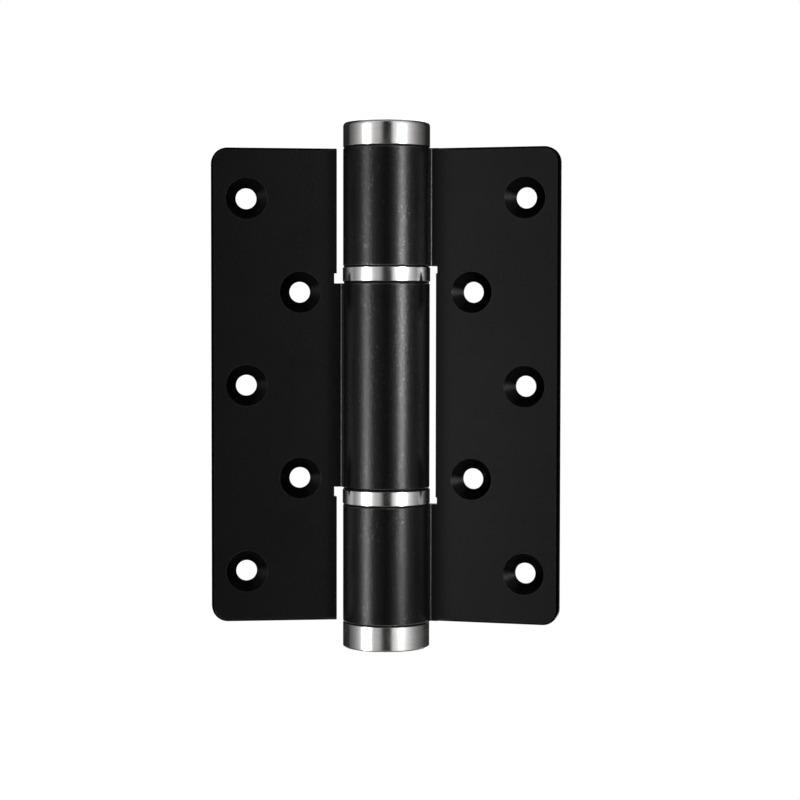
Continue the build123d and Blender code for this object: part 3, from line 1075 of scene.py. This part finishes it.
CEILING_LEVEL = PANEL_LEVELS[1] + 0.1
CEILING_REACH = PANEL_REACH * 1.2

# Place, width and brightness of the lamp behind
BACK_LAMP = ((-0.3, 1.3, 0.9), 0.8, 2.5)


def curved_sheet(name, bearings, levels, reach):
    """Upright sheet bent round the hinge, which the camera doesn't see."""
    low, high = bearings
    mesh = bpy.data.meshes.new(name)
    sheet = bmesh.new()
    rows = []
    for step in range(SHEET_STEPS + 1):
        angle = math.radians(low + (high - low) * step / SHEET_STEPS)
        x, y = math.sin(angle) * reach, -math.cos(angle) * reach
        rows.append([sheet.verts.new((x, y, level)) for level in levels])
    for first, second in zip(rows, rows[1:]):
        sheet.faces.new((first[0], first[1], second[1], second[0]))
    sheet.to_mesh(mesh)
    sheet.free()
    panel = bpy.data.objects.new(name, mesh)
    bpy.context.scene.collection.objects.link(panel)
    panel.visible_camera = False
    return mesh


def panel_brightness(tree, skirt, core):
    """Brightness of a panel at each point: its skirt, and the bell of its core."""
    low, high = skirt[0][0], skirt[-1][0]
    where = node(tree, "ShaderNodeTexCoord").outputs["Object"]
    height = node(tree, "ShaderNodeSeparateXYZ", {0: where}).outputs[2]
    middle = math.radians((low + high) / 2)
    turned = node(
        tree,
        "ShaderNodeVectorRotate",
        {"Vector": where, "Angle": -middle},
        rotation_type="Z_AXIS",
    )
    ahead = node(tree, "ShaderNodeSeparateXYZ", {0: turned.outputs[0]}).outputs
    bearing = maths(tree, "ARCTAN2", ahead[0], maths(tree, "MULTIPLY", ahead[1], -1.0))
    bearing = maths(tree, "ADD", bearing, middle)
    share = node(
        tree,
        "ShaderNodeMapRange",
        {0: bearing, 1: math.radians(low), 2: math.radians(high)},
    )
    ramp = node(tree, "ShaderNodeValToRGB", {0: share.outputs[0]})
    peak = max(level for _, level in skirt)
    elements = ramp.color_ramp.elements
    while len(elements) < len(skirt):
        elements.new(0.5)
    for element, (angle, level) in zip(elements, skirt):
        element.position = (angle - low) / (high - low)
        element.color = shade([level / peak] * 3)
    wide = maths(tree, "MULTIPLY", ramp.outputs[0], peak)
    core_bearing, core_level, half_width, half_height, core_peak = core
    across = maths(tree, "SUBTRACT", bearing, math.radians(core_bearing))
    across = maths(tree, "DIVIDE", across, math.radians(half_width))
    upward = maths(tree, "SUBTRACT", height, core_level)
    upward = maths(tree, "DIVIDE", upward, half_height)
    spread = maths(tree, "MULTIPLY", across, across)
    spread = maths(tree, "MULTIPLY_ADD", upward, upward, spread)
    bell = maths(tree, "POWER", 2.0, maths(tree, "MULTIPLY", spread, -1.0))
    return maths(tree, "MULTIPLY_ADD", bell, core_peak, wide)


def glow_panel(name, skirt, core, levels, strength):
    """Curved soft panel, with a sheet of its own before its bright core.

    Both sheets shine by one rule, so the core shows no edge, and the small sheet lets
    the renderer find the brightest part at once.
    """
    bearing, level, half_width, half_height, peak = core
    wide, tall = CORE_SPAN * half_width, CORE_SPAN * half_height
    core_bearings = (bearing - wide, bearing + wide)
    core_levels = (max(levels[0], level - tall), min(levels[1], level + tall))
    sheets = (
        (name, (skirt[0][0], skirt[-1][0]), levels, PANEL_REACH, 1.0),
        (name + "_core", core_bearings, core_levels, CORE_REACH, peak),
    )
    for sheet_name, bearings, heights, reach, scale in sheets:
        mesh = curved_sheet(sheet_name, bearings, heights, reach)
        material = bpy.data.materials.new(sheet_name)
        mesh.materials.append(material)
        tree = empty_tree(material)
        brightness = panel_brightness(tree, skirt, core)
        colour = maths(tree, "DIVIDE", brightness, scale)
        show(tree, shining(tree, colour, scale * strength))


def soft_lamp(name, place, size, radiance):
    """Square soft lamp aimed at the hinge."""
    lamp = bpy.data.lights.new(name, "AREA")
    lamp.shape = "SQUARE"
    lamp.size = size
    lamp.energy = radiance * math.pi * size * size
    lamp_object = bpy.data.objects.new(name, lamp)
    bpy.context.scene.collection.objects.link(lamp_object)
    lamp_object.location = place
    lamp_object.rotation_mode = "QUATERNION"
    aim = -Vector(place)
    lamp_object.rotation_quaternion = aim.to_track_quat("-Z", "Y")
    lamp_object.visible_camera = False


def room_light(scene, strength):
    """World that is white to the eye and dim to the hinge."""
    world = bpy.data.worlds.new("studio room")
    scene.world = world
    tree = empty_tree(world)
    seen = node(tree, "ShaderNodeLightPath").outputs["Is Camera Ray"]
    level = maths(tree, "MAXIMUM", seen, strength)
    sky = node(tree, "ShaderNodeBackground", {"Color": WHITE, "Strength": level})
    show(tree, sky, "ShaderNodeOutputWorld")


# Place and heading of the photograph's camera, solved from the hinge's corners and
# holes, the width of its sensor in millimetres, and the nearest and farthest it sees
CAMERA_PLACE = (0.15454, -0.54144, 0.01970)
CAMERA_RIGHT = (0.96335, 0.26824, 0.00133)
CAMERA_UP = (-0.01253, 0.04007, 0.99912)
SENSOR_WIDTH = 36.0
CAMERA_CLIP = (0.01, 20.0)


def studio_camera(scene, lens):
    """Camera at the photograph's angle."""
    data = bpy.data.cameras.new("studio_camera")
    data.lens = lens
    data.sensor_width = SENSOR_WIDTH
    data.clip_start, data.clip_end = CAMERA_CLIP
    camera = bpy.data.objects.new("studio_camera", data)
    scene.collection.objects.link(camera)
    right, up = Vector(CAMERA_RIGHT), Vector(CAMERA_UP)
    back = right.cross(up).normalized()
    right = up.cross(back).normalized()
    up = back.cross(right)
    turn = Matrix((right, up, back)).transposed()
    camera.rotation_mode = "QUATERNION"
    camera.rotation_quaternion = turn.to_quaternion()
    camera.location = CAMERA_PLACE
    scene.camera = camera


class HingeStage(bpy.types.Operator):
    """Set the floor, the lamps and the camera"""

    bl_idname = "hinge.stage"
    bl_label = "Studio"

    def execute(self, context):
        scene = context.scene
        studio = settings_of(context, "hinge_studio")
        pale_floor(-studio.floor_drop, FLOOR_REACH)
        key, fill = studio.key_strength, studio.fill_strength
        glow_panel("right_panel", RIGHT_SKIRT, RIGHT_CORE, PANEL_LEVELS, key)
        glow_panel("left_panel", LEFT_SKIRT, LEFT_CORE, PANEL_LEVELS, fill)
        back = studio.back_strength
        glow_panel("back_panel", BACK_SKIRT, BACK_CORE, BACK_LEVELS, back)
        place, size, radiance = BACK_LAMP
        soft_lamp("back_lamp", place, size, back * radiance)
        dim_ceiling(CEILING_LEVEL, CEILING_REACH, studio.ceiling_strength)
        room_light(scene, studio.sky_strength)
        studio_camera(scene, studio.lens)
        scene.view_settings.view_transform = "Standard"
        return {"FINISHED"}


class HingePanel(bpy.types.Panel):
    """Lists the hinge's pieces and their settings"""

    bl_idname = "VIEW3D_PT_hinge"
    bl_label = "Hydraulic spring hinge"
    bl_space_type = "VIEW_3D"
    bl_region_type = "UI"
    bl_category = "Hinge"

    def draw(self, context):
        column = self.layout.column()
        for operator in OPERATORS:
            column.operator(operator.bl_idname)
        for name, group in SETTINGS.items():
            box = self.layout.box()
            for prop in group.__annotations__:
                box.prop(getattr(context.scene, name), prop)


OPERATORS = (
    HingeLeaves,
    HingeCapsAndRings,
    HingeSeams,
    HingeAdjusters,
    HingeCamDrive,
    HingeSpring,
    HingeDamper,
    HingeSeals,
    HingeStage,
)


def register():
    for cls in (*SETTINGS.values(), *OPERATORS, HingePanel):
        bpy.utils.register_class(cls)
    for name, group in SETTINGS.items():
        setattr(bpy.types.Scene, name, PointerProperty(type=group))


def unregister():
    for name in SETTINGS:
        delattr(bpy.types.Scene, name)
    for cls in reversed((*SETTINGS.values(), *OPERATORS, HingePanel)):
        bpy.utils.unregister_class(cls)


def main():
    """Dresses the hinge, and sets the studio."""
    register()
    bpy.ops.hinge.leaves()
    bpy.ops.hinge.caps_and_rings()
    bpy.ops.hinge.seams()
    bpy.ops.hinge.adjusters()
    bpy.ops.hinge.cam_drive()
    bpy.ops.hinge.closing_spring()
    bpy.ops.hinge.damper()
    bpy.ops.hinge.seals()
    bpy.ops.hinge.stage()


if __name__ == "__main__":
    main()
